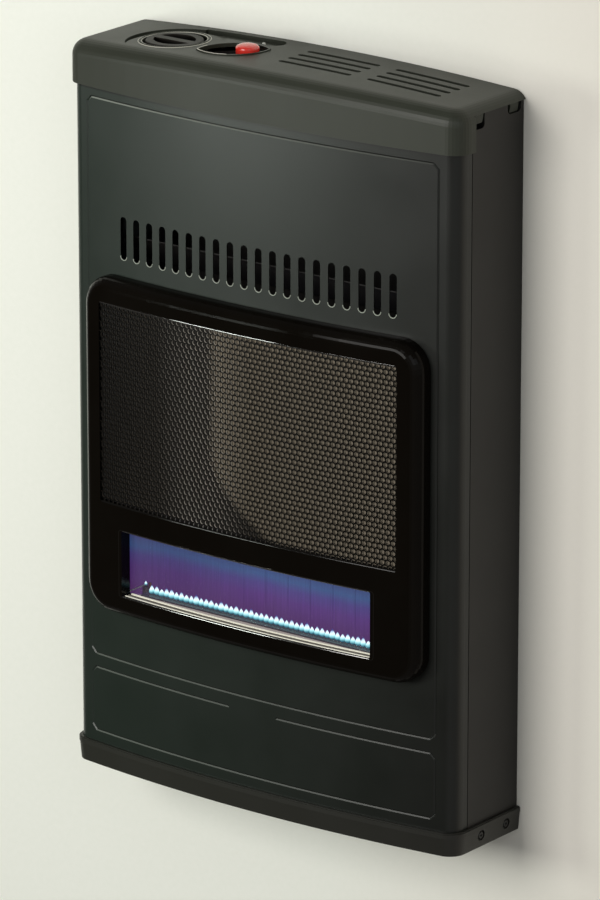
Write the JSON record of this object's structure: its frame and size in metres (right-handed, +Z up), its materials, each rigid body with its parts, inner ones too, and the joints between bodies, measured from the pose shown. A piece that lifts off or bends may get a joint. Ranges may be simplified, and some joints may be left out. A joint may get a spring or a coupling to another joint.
{
  "type": "wall mounted gas heater",
  "caption": "Slim upright wall heater with a bowed beaded front, moulded cap with knob and igniter button, gloss bezel round a perforated grille and burner window.",
  "frame": {"origin": "in the wall plane, in the middle of the four wall screw holes", "axes": "+X right seen from the front, +Y into the wall (the front faces -Y), +Z up"},
  "size_m": [0.442, 0.1285, 0.7017],
  "materials": {
    "grey_paint": "stoved enamel, dark warm grey, fine texture",
    "front_paint": "stoved enamel, dark green grey, satin",
    "zinc_steel": "galvanised sheet",
    "plated_steel": "zinc plated",
    "tray_plastic": "fine grained",
    "cap_plastic": "satin, warm grey",
    "bezel_gloss": "gloss heat resistant moulding",
    "grille_metal": "perforated, dark brown grey",
    "window_sheet": "tinted heat resistant sheet",
    "bright_wire": "bright drawn wire",
    "dark_enamel": "dark heat resistant enamel",
    "tinted_steel": "stainless steel with heat tint",
    "burner_steel": "stainless steel, dulled by heat",
    "brass": "turned",
    "aluminium_pipe": "drawn tube",
    "valve_alloy": "die cast",
    "knob_plastic": "satin, warm grey",
    "black_plastic": "moulded",
    "button_red": "gloss red",
    "ceramic": "glazed ceramic insulator",
    "lead_rubber": "heat resistant sleeve",
    "copper_lead": "copper lead"
  },
  "bodies": {
    "cabinet": {"back_panel": "zinc_steel", "left_side_panel": "grey_paint", "right_side_panel": "grey_paint", "front_panel": "front_paint", "base_tray": "tray_plastic", "tray_screws": "plated_steel", "top_cap": "cap_plastic", "control_plate": "cap_plastic", "control_screws": "plated_steel", "bezel": "bezel_gloss", "bezel_nuts": "plated_steel", "grille": "grille_metal", "window_glass": "window_sheet", "glass_clips": "plated_steel", "window_rail": "bright_wire", "firebox": "dark_enamel", "reflector": "tinted_steel", "heat_deflector": "dark_enamel", "burner": "burner_steel", "burner_ports": "burner_steel", "burner_brackets": "zinc_steel", "mixer_tube": "burner_steel", "injector": "brass", "gas_pipe": "aluminium_pipe", "gas_valve": "valve_alloy", "valve_nut": "plated_steel", "knob_spring": "plated_steel", "supply_pipe": "aluminium_pipe", "gas_inlet": "brass", "igniter_body": "black_plastic", "igniter_nut": "plated_steel", "button_spring": "plated_steel", "pilot_burner": "burner_steel", "pilot_pipe": "aluminium_pipe", "spark_electrode": "ceramic", "spark_lead": "lead_rubber", "thermocouple": "copper_lead"},
    "push_stem": {"valve_plunger": "valve_alloy"},
    "knob": {"knob": "knob_plastic", "valve_spindle": "plated_steel"},
    "igniter_button": {"igniter_button": "button_red"}
  },
  "joints": [
    {"name": "knob_push", "type": "slide", "parent": "cabinet", "child": "push_stem", "axis": [0, 0, -1], "range_m": [0, 0.004], "stiffness_N_per_m": 600, "springref_m": -0.004, "deforming": ["knob_spring"]},
    {"name": "knob_turn", "type": "hinge", "parent": "push_stem", "child": "knob", "pos_m": [-0.129, -0.056, 0.347], "axis": [0, 0, 1], "range_deg": [-180, 0]},
    {"name": "button_push", "type": "slide", "parent": "cabinet", "child": "igniter_button", "axis": [0, 0, -1], "range_m": [0, 0.006], "stiffness_N_per_m": 600, "springref_m": -0.003, "deforming": ["button_spring"]}
  ]
}
